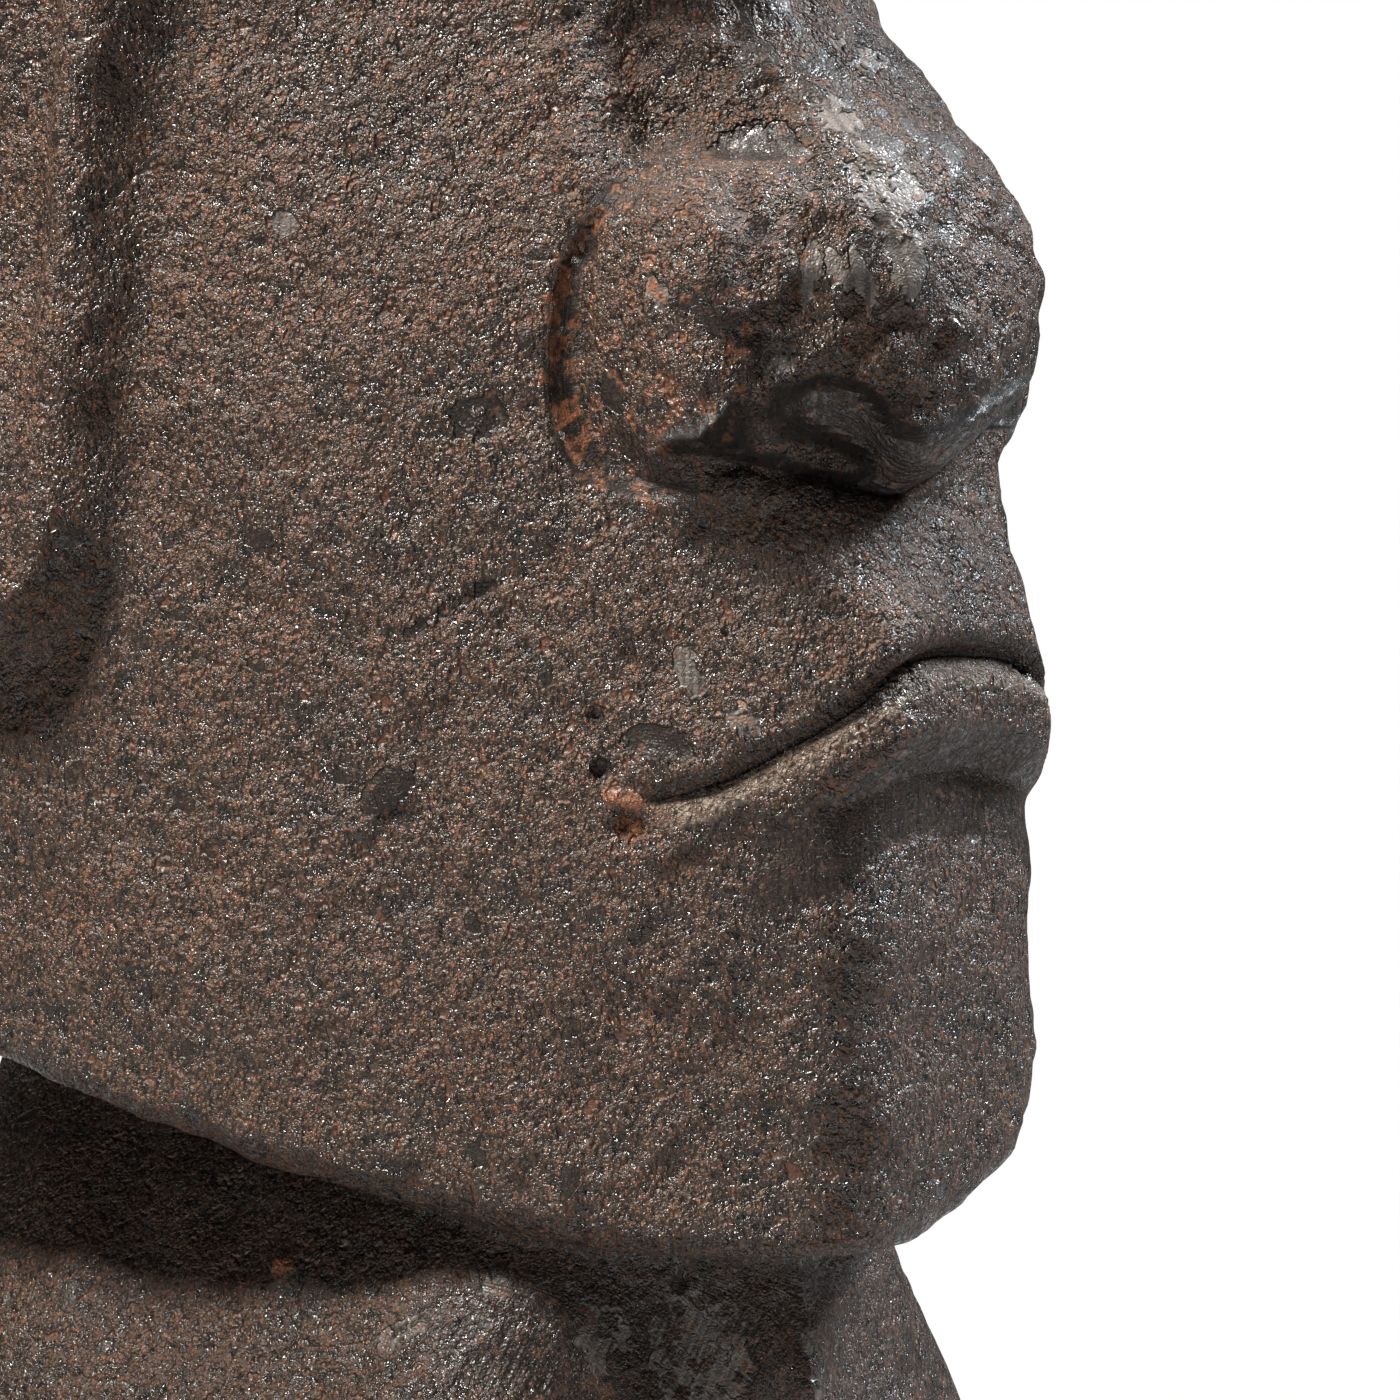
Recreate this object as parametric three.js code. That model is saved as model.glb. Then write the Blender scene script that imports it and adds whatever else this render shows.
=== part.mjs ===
// Moai-type head as a bust: one closed solid of cast stone, cut off flat below the neck.
// Millimetres, +Z up. The face looks along -Y, and the origin is the middle of the flat underside.
//
// The solid is the inside of one signed field, negative within. The field joins and cuts planes,
// profiles and ellipsoids with rounded edges. A net of rays from the upright axis finds its surface.
// In the field, x is sideways (+ is the statue's own left), reach is forwards and z is up.
import * as THREE from 'three';

// Driving dimensions
const crownHeight = 588;        // top of the head
const halfWidth = 105;          // middle plane to the flat side of the head
const backReach = 118;          // axis to the back of the head
const sideDistance = 97.5;      // axis to the slanting plane of each cheek and jaw side
const jawHeight = 130;          // underside of the jaw at the chin
const neckKeelReach = 100;      // the upright ridge down the front of the neck
const neckHalfWidth = 63;       // just under the jaw
const shoulderHalfWidth = 121;  // at the flat underside
const noseTipReach = 150;
const noseWingHeight = 318;
const noseWingSpread = 38.5;    // middle plane to the middle of each nose wing
const noseWingLean = 0.7;       // how far the back of a wing leans forwards, mm a mm of height
const noseUnderRise = 0.5;      // slope of its underside, up towards the tip
const mouthHeight = 254.5;      // mouth line at the middle
const mouthDrop = 29.5;         // how much lower its ends are
const mouthHalfWidth = 56;
const earFoot = 280;            // lower and upper ends of the ear's middle line
const earHead = 414;
const earRadius = 27;
const earDepth = 12;            // how far the ear stands out of the side
const noseJoin = 5;             // widths of the rounded joins of nose and neck to the head
const neckJoin = 14;
const standReach = 16;          // the origin stands this far in front of the axis

// Net: columns round the axis, rows from the underside's edge to the crown
const columnCount = 80;
const rowCount = 60;
const relaxSteps = 4;
const discRings = [0.72, 0.36]; // rings of the flat underside, as shares of its outline

// Profiles: [height, value] pairs joined by one smooth curve
const facePlane = [[100, 137], [133, 139], [160, 140.5], [200, 141], [226, 139.5], [250, 140],
  [270, 136.5], [291, 131], [304, 125], [330, 108], [355, 95], [380, 87], [415, 83], [440, 93],
  [456, 119], [474, 121], [510, 116], [560, 106], [620, 90]];
const eyeHollow = [[300, 0], [330, 1.5], [355, 7], [380, 13], [412, 16], [438, 10], [456, -4],
  [480, -6], [560, -4], [620, -2]];
const noseRidge = [[270, noseTipReach], [318, noseTipReach + 0.5], [335, 148], [352, 140.5], [365, 128.5],
  [385, 112.5], [410, 101], [440, 96], [470, 96]];
const noseRidgeHalf = [[270, 16], [318, 19], [335, 22], [352, 21], [370, 20], [385, 17], [420, 16],
  [450, 20]];
const noseFlare = [[270, 0.8], [318, 0.8], [340, 0.6], [358, 0.33], [372, 0.5], [390, 0.8],
  [420, 1], [450, 1]];

// Rounded joins: the smaller or larger of two values, blended over a width k
function softMin(a, b, k) {
  const h = Math.min(1, Math.max(0, 0.5 + 0.5 * (b - a) / k));
  return b + (a - b) * h - k * h * (1 - h);
}

function softMax(k, ...values) {
  return values.reduce((a, b) => -softMin(-a, -b, k));
}

// 0 before a, 1 after b, and a smooth step between
function ramp(a, b, t) {
  const s = Math.min(1, Math.max(0, (t - a) / (b - a)));
  return s * s * (3 - 2 * s);
}

// Rises with slope 1 once t is well above 0, and is 0 well below it
function softStart(t, width) {
  return 0.5 * (t + Math.hypot(t, width));
}

// Smooth curve through the profile's points, level at both ends
function profile(points, t) {
  const last = points.length - 1;
  const slope = (i) => (i === 0 || i === last ? 0
    : (points[i + 1][1] - points[i - 1][1]) / (points[i + 1][0] - points[i - 1][0]));
  let i = 0;
  while (i < last - 1 && t > points[i + 1][0]) i += 1;
  const span = points[i + 1][0] - points[i][0];
  const s = Math.min(1, Math.max(0, (t - points[i][0]) / span));
  const s2 = s * s;
  const s3 = s2 * s;
  return (2 * s3 - 3 * s2 + 1) * points[i][1] + (s3 - 2 * s2 + s) * span * slope(i)
    + (3 * s2 - 2 * s3) * points[i + 1][1] + (s3 - s2) * span * slope(i + 1);
}

// Distance to a ball with three radii, true near its surface. Power 2 is an ellipsoid, more is squarer.
function ball(p, centre, radii, power) {
  const parts = p.map((value, i) => Math.abs(value - centre[i]) / radii[i]);
  const scaled = parts.reduce((sum, part) => sum + part ** power, 0) ** (1 / power) + 1e-9;
  const growth = Math.hypot(...parts.map((part, i) => part ** (power - 1) / radii[i])) + 1e-9;
  return (scaled - 1) * scaled ** (power - 1) / growth;
}

// Face plane, cheek sides, flanks, back, crown, and the jaw with its broken left chin corner
function headBlock(x, side, reach, z) {
  const browDroop = 0.0016 * side * side * ramp(380, 450, z);
  const temple = 1 - 0.75 * ramp(62, 104, side);
  const face = reach - profile(facePlane, z + browDroop);
  const cheek = 0.857 * side + 0.515 * reach - sideDistance + profile(eyeHollow, z + browDroop) * temple;
  const flank = side - halfWidth + 0.00012 * (z - 300) ** 2;
  const back = -reach - backReach + 0.00035 * (z - 380) ** 2;
  const crown = z - crownHeight + 0.0016 * ((reach - 20) ** 2 + x * x);
  const jaw = jawHeight + 0.31 * softStart(99 - reach, 34) - z;
  const chinSlope = (0.3 * (x + 14) + 0.5 * (reach - 134) - (z - jawHeight - 3)) / 1.16;
  const chinBreak = 0.62 * (x - 19) + 0.42 * (reach - 138) - 0.66 * (z - 148);
  const block = softMax(45, softMax(12, face, cheek), flank);
  return softMax(7, softMax(8, softMax(45, softMax(60, block, back), crown), chinSlope, chinBreak), jaw);
}

// Ridge with flaring sides and a sloping underside, and a wing bulb on each side whose back leans
// forwards towards its top. On the statue's right the ridge and the wing are a little fuller.
function nose(x, side, reach, z) {
  const fuller = ramp(8, -8, x);
  const ridge = profile(noseRidge, z);
  const flare = profile(noseFlare, z);
  const half = profile(noseRidgeHalf, z) + 3 * fuller;
  const slope = (side - half + flare * (reach - ridge)) / Math.hypot(1, flare);
  const leftUnder = 0.379 * x + 0.452 * reach - 0.807 * z + 175.1;
  const rightUnder = (282 + noseUnderRise * (reach - 128) - z) / Math.hypot(1, noseUnderRise);
  const mass = softMax(10, softMax(16, reach - ridge, slope), leftUnder);
  const trimmed = Math.max(softMax(8, softMax(8, mass, rightUnder), side - 50), 30 - reach, z - 462);
  const wingRadii = [17, 22.5, 27.5].map((radius) => radius * (1 + 0.14 * fuller));
  const leaning = noseWingLean * softStart(z - noseWingHeight - 4, 10) * (1 - ramp(84, 112, reach));
  const wing = ball([side, reach - leaning, z], [noseWingSpread, 101, noseWingHeight], wingRadii, 3.2);
  return softMin(trimmed, softMax(5, wing, noseFoot(side) - 1 - z), 14);
}

// Height at which the underside of the nose meets the lip
function noseFoot(side) {
  return 283.5 + 0.19 * side;
}

// Hollow of the nostril, flat below; the left one is shallow
function nostril(x, side, reach, z) {
  const hollow = ball([side, reach, z], [36, 136, 290], [18, 9, 14], 2);
  return softMax(1.5, hollow, noseFoot(side) - z) + 5 * (1 - ramp(14, -6, x));
}

// Neck with a ridge down its front, spreading below into the shoulders
function neck(side, reach, z) {
  const below = Math.max(0, 150 - z);
  const half = softMin(neckHalfWidth + 0.6 * (136 - z), shoulderHalfWidth, 20);
  const keel = neckKeelReach + 8 * ramp(0, 70, below);
  const corner = 78 + 10 * ramp(10, 110, below);
  const fall = (keel - corner) / half;
  const front = (reach + fall * side - keel) / Math.hypot(1, fall);
  const flank = (side + 0.16 * (reach - corner) - half) / 1.013;
  const wall = side - softMin(half + 14, shoulderHalfWidth, 10);
  const back = -reach - 100 - 12 * ramp(0, 130, below);
  return softMax(20, softMax(60, softMax(20, softMax(20, front, flank), wall), back), z - 220);
}

// Mouth relief: the upper lip's rim, the line, and the lower lip's ledge under it
function mouth(side, reach, z) {
  const line = softMax(6, mouthHeight - 1.07 * softStart(side - 21, 6.3), mouthHeight - mouthDrop);
  const t = z - line;
  const centre = 1 - ramp(18, 42, side);
  const ledge = 8 + 9 * centre;
  const upperEdge = ramp(-1.2, 2.6 + 1.6 * centre, t);
  const lowerEdge = 1 - ramp(-2.9 - 1.2 * centre, -0.2, t);
  const upper = (2.6 + 3.9 * centre) * upperEdge * (1 - ramp(3, 34, t));
  const lower = (2.4 + 4.8 * centre) * ramp(-ledge - 7, -ledge + 4, t) * lowerEdge;
  const groove = -1.4 * Math.exp(-((t / 1.5) ** 2));
  const sideFade = 1 - ramp(mouthHalfWidth - 10, mouthHalfWidth, side);
  return (upper + lower + groove) * sideFade * ramp(20, 60, reach);
}

// Long ear on the flank: a raised round-ended slab
function ear(side, reach, z) {
  const along = Math.min(1, Math.max(0, (z - earFoot) / (earHead - earFoot)));
  const away = Math.hypot(reach + 24 - 12 * along, z - earFoot - (earHead - earFoot) * along);
  return earDepth * (1 - ramp(earRadius - 14, earRadius + 2, away)) * ramp(70, 95, side);
}

// The whole field at one point
function field(x, reach, z) {
  const side = Math.hypot(x, 2);
  const noseBlend = noseJoin + 18 * ramp(375, 430, z);
  const head = softMin(headBlock(x, side, reach, z), nose(x, side, reach, z), noseBlend);
  const carved = softMax(8, head, -nostril(x, side, reach, z));
  return softMin(carved, neck(side, reach, z), neckJoin) - mouth(side, reach, z) - ear(side, reach, z);
}

function fieldSlope(p, step = 0.05) {
  return [0, 1, 2].map((axis) => {
    const ahead = [...p];
    const behind = [...p];
    ahead[axis] += step;
    behind[axis] -= step;
    return (field(...ahead) - field(...behind)) / (2 * step);
  });
}

// Where the ray of azimuth u and rank v (0 at the underside's edge, 1 straight up) leaves the solid.
// The rays' starts climb the axis, and round the jaw they rise towards the back as its edge does.
function surfacePoint(u, v) {
  const down = -25 * ramp(0, 0.2, v);
  const tilt = THREE.MathUtils.degToRad(v < 0.78 ? down : -25 + 115 * (v - 0.78) / 0.22);
  const jawRise = -33 * Math.cos(u) * ramp(0.05, 0.3, v) * (1 - ramp(0.5, 0.75, v));
  const start = Math.min(v / 0.78, 1) * 460 + jawRise;
  const way = [Math.sin(u) * Math.cos(tilt), Math.cos(u) * Math.cos(tilt), Math.sin(tilt)];
  let t = 20;
  for (let i = 0; i < 90; i += 1) {
    const outside = field(way[0] * t, 10 + way[1] * t, start + way[2] * t);
    t = Math.min(250, t + Math.min(25, Math.max(-3, -0.6 * outside)));
  }
  return [way[0] * t, 10 + way[1] * t, start + way[2] * t];
}

// Ranks or azimuths spaced so that equal steps cover equal weighted lengths of surface
function evenSteps(samples, lengths, count) {
  const sums = lengths.reduce((all, length) => [...all, all[all.length - 1] + length], [0]);
  return Array.from({ length: count }, (_, i) => {
    const goal = sums[sums.length - 1] * i / (count - 1);
    let k = 0;
    while (k < lengths.length - 1 && sums[k + 1] < goal) k += 1;
    return samples[k] + (samples[k + 1] - samples[k]) * (goal - sums[k]) / lengths[k];
  });
}

const distance = (a, b) => Math.hypot(a[0] - b[0], a[1] - b[1], a[2] - b[2]);

function columnAzimuths() {
  const samples = Array.from({ length: 73 }, (_, i) => -Math.PI + 2 * Math.PI * i / 72);
  const levels = [0.1, 0.3, 0.45, 0.6, 0.75];
  const lengths = samples.slice(1).map((u, i) => levels.reduce((sum, v) => {
    const facing = Math.exp(-(((u + samples[i]) / 2 / 0.62) ** 2));
    return sum + (1 + 4 * facing) * distance(surfacePoint(u, v), surfacePoint(samples[i], v));
  }, 0));
  return evenSteps(samples, lengths, columnCount + 1).slice(0, columnCount);
}

function rowRanks() {
  const samples = Array.from({ length: 161 }, (_, i) => i / 160);
  const meridians = [-2.6, -1.2, -0.5, 0, 0.25, 0.5, 1.2, 2.6];
  const lengths = samples.slice(1).map((v, i) => meridians.reduce((sum, u) => {
    const point = surfacePoint(u, v);
    const face = ramp(110, 130, point[2]) * (1 - ramp(455, 480, point[2]));
    const noseAndMouth = ramp(215, 230, point[2]) * (1 - ramp(345, 360, point[2]));
    return sum + (1 + 1.5 * face + 1.5 * noseAndMouth) * distance(point, surfacePoint(u, samples[i]));
  }, 0));
  return evenSteps(samples, lengths, rowCount);
}

// One step of evening out the net, each point drawn back onto the surface
function relaxed(net) {
  const settle = (p) => {
    const slope = fieldSlope(p);
    const size = Math.max(0.05, slope[0] ** 2 + slope[1] ** 2 + slope[2] ** 2);
    const move = field(...p) / size;
    const limit = Math.min(1, 3 / (Math.abs(move) * Math.sqrt(size) + 1e-9));
    return p.map((value, axis) => value - slope[axis] * move * limit);
  };
  return net.map((row, r) => (r === 0 || r === net.length - 1 ? row : row.map((p, c) => {
    const left = row[(c + columnCount - 1) % columnCount];
    const right = row[(c + 1) % columnCount];
    const mean = p.map((value, axis) => 0.4 * value
      + 0.15 * (left[axis] + right[axis] + net[r - 1][c][axis] + net[r + 1][c][axis]));
    return settle(mean);
  })));
}

// How far the middle of the edge from one point to another lies off the surface
function strayOf(points, from, to) {
  const [x, y, z] = [0, 1, 2].map((axis) => (points[3 * from + axis] + points[3 * to + axis]) / 2);
  return Math.abs(field(x, standReach - y, z));
}

// Closed skin: rings of the net, a fan to the crown, rings and a fan for the flat underside.
// Each cell of the net is cut along the diagonal that lies nearer the surface.
function skin(net) {
  const points = [];
  const triangles = [];
  const add = ([x, reach, z]) => points.push(x, standReach - reach, z) / 3 - 1;
  const foot = net[0];
  const middle = [0, standReach, 0];
  const inner = discRings.map((share) => foot.map((p) => [share * p[0],
    middle[1] + share * (p[1] - middle[1]), 0]));
  const rings = [...inner.reverse(), ...net.slice(0, -1)].map((ring) => ring.map(add));
  const bottom = add(middle);
  const top = add(net[net.length - 1][0]);
  for (let c = 0; c < columnCount; c += 1) {
    const next = (c + 1) % columnCount;
    triangles.push(bottom, rings[0][next], rings[0][c]);
    for (let r = 0; r < rings.length - 1; r += 1) {
      const [a, b, d, e] = [rings[r][c], rings[r][next], rings[r + 1][c], rings[r + 1][next]];
      if (strayOf(points, a, e) <= strayOf(points, b, d)) triangles.push(a, b, e, a, e, d);
      else triangles.push(a, b, d, b, e, d);
    }
    const rim = rings[rings.length - 1];
    triangles.push(rim[c], rim[next], top);
  }
  const geometry = new THREE.BufferGeometry();
  geometry.setAttribute('position', new THREE.Float32BufferAttribute(points, 3));
  geometry.setIndex(triangles);
  geometry.computeVertexNormals();
  return geometry;
}

function statueHead() {
  const azimuths = columnAzimuths();
  let net = rowRanks().map((v) => azimuths.map((u) => surfacePoint(u, v)));
  net[0] = net[0].map(([x, reach]) => [x, reach, 0]);
  for (let i = 0; i < relaxSteps; i += 1) net = relaxed(net);
  const paintedStone = new THREE.MeshStandardMaterial({ color: 0x4e433e, roughness: 0.6, metalness: 0 });
  const head = new THREE.Mesh(skin(net), paintedStone);
  head.name = 'statue_head';
  return head;
}

const statue = new THREE.Group();
statue.add(statueHead());

export default statue;
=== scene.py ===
import bpy
import numpy as np
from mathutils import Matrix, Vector


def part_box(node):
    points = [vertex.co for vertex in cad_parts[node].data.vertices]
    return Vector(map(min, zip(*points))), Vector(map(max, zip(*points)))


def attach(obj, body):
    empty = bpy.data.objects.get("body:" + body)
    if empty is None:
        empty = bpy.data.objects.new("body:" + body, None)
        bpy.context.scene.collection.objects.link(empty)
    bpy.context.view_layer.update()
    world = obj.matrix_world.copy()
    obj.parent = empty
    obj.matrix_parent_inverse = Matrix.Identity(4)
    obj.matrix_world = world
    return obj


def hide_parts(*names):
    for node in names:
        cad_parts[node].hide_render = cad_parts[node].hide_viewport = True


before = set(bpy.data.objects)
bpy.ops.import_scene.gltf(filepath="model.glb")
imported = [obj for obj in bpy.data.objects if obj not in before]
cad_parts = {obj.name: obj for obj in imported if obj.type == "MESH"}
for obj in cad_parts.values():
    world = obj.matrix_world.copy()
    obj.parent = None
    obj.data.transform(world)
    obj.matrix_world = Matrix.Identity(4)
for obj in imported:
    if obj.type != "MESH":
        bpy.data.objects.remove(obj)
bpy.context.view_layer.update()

# The shaping code counts in millimetres: x across the face, reach forwards from the
# upright axis, z up from the floor. side is x without its sign, since the head was
# built alike on both sides. Left and right are as seen from in front, and left is below
# zero. The points become metres when the mesh is made.
lowCorner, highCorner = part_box("statue_head")
boxSize = [round(1000 * (high - low)) for low, high in zip(lowCorner, highCorner)]
print("frame loaded, statue_head is", boxSize, "mm")


# Joins and curves

# The smaller of two, with a parabola of width k where they meet.
def softMin(a, b, k):
    h = np.clip(0.5 + 0.5 * (b - a) / k, 0, 1)
    return b + (a - b) * h - k * h * (1 - h)


# The larger of two, with the same parabola.
def softMax(a, b, k):
    return -softMin(-a, -b, k)


# 0 before start and 1 after end, with the cubic 3s2 - 2s3 between.
def ramp(start, end, t):
    s = np.clip((t - start) / (end - start), 0, 1)
    return s * s * (3 - 2 * s)


# 1 between two places and 0 outside, with an edge on both sides of each.
def between(low, high, edge, t):
    return ramp(low - edge, low + edge, t) * (1 - ramp(high - edge, high + edge, t))


# A bell curve of height 1, away from its middle over its width.
def bell(away, width):
    return np.exp(-((away / width) ** 2))


# A half hyperbola: near 0 below 0, near t above it, width is how round the turn is.
def softStart(t, width):
    return 0.5 * (t + np.hypot(t, width))


# A cubic Hermite curve through (place, value) pairs. The slope at a pair is that of the
# line between its neighbours, and level at the two ends.
def curve(pairs, t, samples=2000):
    places, values = np.array(pairs, float).T
    slopes = np.zeros(len(places))
    slopes[1:-1] = (values[2:] - values[:-2]) / (places[2:] - places[:-2])
    grid = np.linspace(places[0], places[-1], samples)
    left = np.clip(np.searchsorted(places, grid) - 1, 0, len(places) - 2)
    span = places[left + 1] - places[left]
    s = (grid - places[left]) / span
    fine = (
        (2 * s**3 - 3 * s**2 + 1) * values[left]
        + (s**3 - 2 * s**2 + s) * span * slopes[left]
        + (3 * s**2 - 2 * s**3) * values[left + 1]
        + (s**3 - s**2) * span * slopes[left + 1]
    )
    return np.interp(t, grid, fine)


# Distance to a ball with three radii, near enough: scaled distance from its middle, less
# 1, over how fast that grows. Power 2 is an ellipsoid, and more is squarer.
def ball(side, reach, z, middle, radii, power=2):
    parts = [np.abs(at - mid) / radius for at, mid, radius in zip([side, reach, z], middle, radii)]
    scaled = sum(part**power for part in parts) ** (1 / power) + 1e-9
    growth = np.sqrt(sum((part ** (power - 1) / radius) ** 2 for part, radius in zip(parts, radii)))
    return (scaled - 1) * scaled ** (power - 1) / (growth + 1e-9)


# How far a point is outside a plane, given as (across, forwards, up, offset).
def outside(plane, x, reach, z):
    across, forwards, up, offset = plane
    return across * x + forwards * reach + up * z + offset


# The head block: face, cheeks, flanks, back and crown, cut off below by the jaw

block = {
    "faceReach": [  # (height, reach) down the middle of the face, brow last
        (100, 137), (133, 139), (160, 140.5), (200, 141), (226, 139.5), (250, 140), (270, 136.5),
        (291, 131), (304, 125), (330, 108), (355, 95), (380, 87), (415, 83), (440, 93),
        (456, 119), (474, 121), (510, 116), (560, 106), (620, 90),
    ],
    "eyeDepth": [  # (height, how deep the eye hollow is); below zero the brow stands out
        (300, 0), (330, 1.5), (355, 7), (380, 13), (412, 16), (438, 10), (456, -4), (480, -6),
        (560, -4), (620, -2),
    ],
    "browHeights": (380, 450),  # over these the brow comes to droop towards the sides
    "browDroop": 0.0016,
    "templeSides": (62, 104),  # over these the eye hollow fades to a quarter
    "cheek": (0.857, 0.515, 0, -97.5),
    "flankSide": 105,
    "flankBow": 0.00012,
    "backReach": -118,
    "backBow": 0.00035,
    "height": 588,
    "crownBow": 0.0016,
    "jawHeight": 130,
    "jawRise": 0.31,
    "jawTurn": (99, 34),  # the jaw starts to rise behind this reach, over this width
    "chinSlope": (0.3, 0.5, -1, 70.2),
    "chinSteep": 1.16,  # the length of that plane's normal
    "chinBreak": (0.62, 0.42, -0.66, 27.94),
    "edge": 12,
    "corner": 45,
    "nape": 60,
    "chinEdge": 8,
    "jawEdge": 7,
}


# Planes and shallow parabolas, each joined to the rest by softMax.
def headBlock(x, side, reach, z):
    droop = block["browDroop"] * side * side * ramp(*block["browHeights"], z)
    temple = 1 - 0.75 * ramp(*block["templeSides"], side)
    face = reach - curve(block["faceReach"], z + droop)
    cheek = outside(block["cheek"], side, reach, z) + curve(block["eyeDepth"], z + droop) * temple
    flank = side - block["flankSide"] + block["flankBow"] * (z - 300) ** 2
    back = block["backReach"] - reach + block["backBow"] * (z - 380) ** 2
    crown = z - block["height"] + block["crownBow"] * ((reach - 20) ** 2 + x * x)
    turnReach, turnWidth = block["jawTurn"]
    jaw = block["jawHeight"] + block["jawRise"] * softStart(turnReach - reach, turnWidth) - z
    solid = softMax(softMax(face, cheek, block["edge"]), flank, block["corner"])
    solid = softMax(softMax(solid, back, block["nape"]), crown, block["corner"])
    solid = softMax(solid, outside(block["chinSlope"], x, reach, z) / block["chinSteep"], block["chinEdge"])
    solid = softMax(solid, outside(block["chinBreak"], x, reach, z), block["chinEdge"])
    return softMax(solid, jaw, block["jawEdge"])


nose = {
    "ridgeReach": [  # (height, reach)
        (270, 150), (318, 150.5), (335, 148), (352, 140.5), (365, 128.5), (385, 112.5), (410, 101),
        (440, 96), (470, 96),
    ],
    "ridgeHalf": [  # (height, half width at the ridge)
        (270, 16), (318, 19), (335, 22), (352, 21), (370, 20), (385, 17), (420, 16), (450, 20),
    ],
    "flare": [  # (height, how much wider the nose gets for each mm back from the ridge)
        (270, 0.8), (318, 0.8), (340, 0.6), (358, 0.33), (372, 0.5), (390, 0.8), (420, 1), (450, 1),
    ],
    "ridgeRound": 16,
    "underRight": (0.379, 0.452, -0.807, 175.1),
    "underHeight": 282,
    "underReach": 128,
    "underRise": 0.5,
    "farthestSide": 50,
    "topHeight": 462,
    "footHeight": 283.5,
    "footRise": 0.19,
    "wingMiddle": (38.5, 101, 318),
    "wingRadii": (17, 22.5, 27.5),
    "wingPower": 3.2,
    "wingLean": 0.7,
    "wingLeanHeight": 322,
    "fullerLeft": 0.14,  # the left wing was pressed out this much more than the right
    "fullerRidge": 3,
    "scoopMiddle": (36, 136, 290),
    "scoopRadii": (18, 9, 14),
    "creaseDepth": 2.4,
    "footDepth": 1.1,
}


# 1 on the left half of the nose and 0 on the right.
def leftHalf(x):
    return ramp(8, -8, x)


# How far a point is outside the ball of the nose's wing, whose back leans forwards
# towards its top.
def wingDistance(x, side, reach, z):
    fuller = 1 + nose["fullerLeft"] * leftHalf(x)
    radii = [radius * fuller for radius in nose["wingRadii"]]
    leaning = nose["wingLean"] * softStart(z - nose["wingLeanHeight"], 10) * (1 - ramp(84, 112, reach))
    return ball(side, reach - leaning, z, nose["wingMiddle"], radii, nose["wingPower"])


# Height at which the underside of the nose meets the lip.
def noseFoot(side):
    return nose["footHeight"] + nose["footRise"] * side


# A ridge with flared sides, cut below by two planes, with a ball on each side for its wing.
def noseForm(x, side, reach, z):
    ridge = curve(nose["ridgeReach"], z)
    flare = curve(nose["flare"], z)
    half = curve(nose["ridgeHalf"], z) + nose["fullerRidge"] * leftHalf(x)
    slope = (side - half + flare * (reach - ridge)) / np.hypot(1, flare)
    rise = nose["underRise"]
    under = (nose["underHeight"] + rise * (reach - nose["underReach"]) - z) / np.hypot(1, rise)
    solid = softMax(reach - ridge, slope, nose["ridgeRound"])
    solid = softMax(solid, outside(nose["underRight"], x, reach, z), 10)
    solid = softMax(softMax(solid, under, 8), side - nose["farthestSide"], 8)
    solid = np.maximum(np.maximum(solid, 30 - reach), z - nose["topHeight"])
    wing = softMax(wingDistance(x, side, reach, z), noseFoot(side) - 1 - z, 5)
    return softMin(solid, wing, 14)


# What is cut out of the nose and the face: a scoop for the nostril, flat below, and
# bell-shaped grooves round the wing where it meets the cheek and along the nose's foot.
def noseCuts(x, side, reach, z):
    left = ramp(14, -6, x)
    scoop = ball(side, reach, z, nose["scoopMiddle"], nose["scoopRadii"])
    scoop = softMax(scoop, noseFoot(side) - z, 1.5) + 5 * (1 - left)
    crease = nose["creaseDepth"] * bell(wingDistance(x, side, reach, z) - 1, 2.6)
    crease = crease * ramp(38, 48, side) * ramp(282, 292, z) * (1 - ramp(342, 356, z))
    foot = nose["footDepth"] * bell(z - noseFoot(side) + 0.5, 1.9)
    foot = foot * (1 - ramp(52, 58, side)) * (0.3 + 0.7 * left)
    return scoop, crease * ramp(70, 85, reach) + foot * ramp(92, 102, reach)


neck = {
    "topHeight": 150,
    "halfWidth": 63,
    "spread": 0.6,
    "spreadHeight": 136,
    "baseHalfWidth": 121,
    "keelReach": 100,
    "cornerReach": 78,
    "flankTurn": 0.16,
    "flankSteep": 1.013,  # the length of that plane's normal
    "backReach": -100,
    "faceRound": 20,
    "backRound": 60,
}


# Two flat front faces that meet in a keel, side walls that spread towards the floor and
# a round back.
def neckForm(side, reach, z):
    below = np.clip(neck["topHeight"] - z, 0, None)
    spread = neck["halfWidth"] + neck["spread"] * (neck["spreadHeight"] - z)
    half = softMin(spread, neck["baseHalfWidth"] + 0 * z, 20)
    keel = neck["keelReach"] + 8 * ramp(0, 70, below)
    fall = (keel - neck["cornerReach"] - 10 * ramp(10, 110, below)) / half
    front = (reach + fall * side - keel) / np.hypot(1, fall)
    flank = (side + neck["flankTurn"] * (reach + fall * half - keel) - half) / neck["flankSteep"]
    wall = side - softMin(half + 14, neck["baseHalfWidth"] + 0 * z, 10)
    back = neck["backReach"] - reach - 12 * ramp(0, 130, below)
    solid = softMax(softMax(front, flank, neck["faceRound"]), wall, neck["faceRound"])
    return softMax(softMax(solid, back, neck["backRound"]), z - neck["topHeight"] - 70, neck["faceRound"])


mouth = {
    "middleHeight": 254.5,
    "fall": 1.07,
    "fallSide": 21,
    "cornerHeight": 225,
    "upperSwell": (2.6, 3.9),  # at the corners, and what the middle adds
    "lowerSwell": (2.4, 4.8),
    "ledge": (8, 9),
    "grooveDepth": 0.5,
    "grooveWidth": 2.2,
    "endSides": (46, 56),
}


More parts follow.
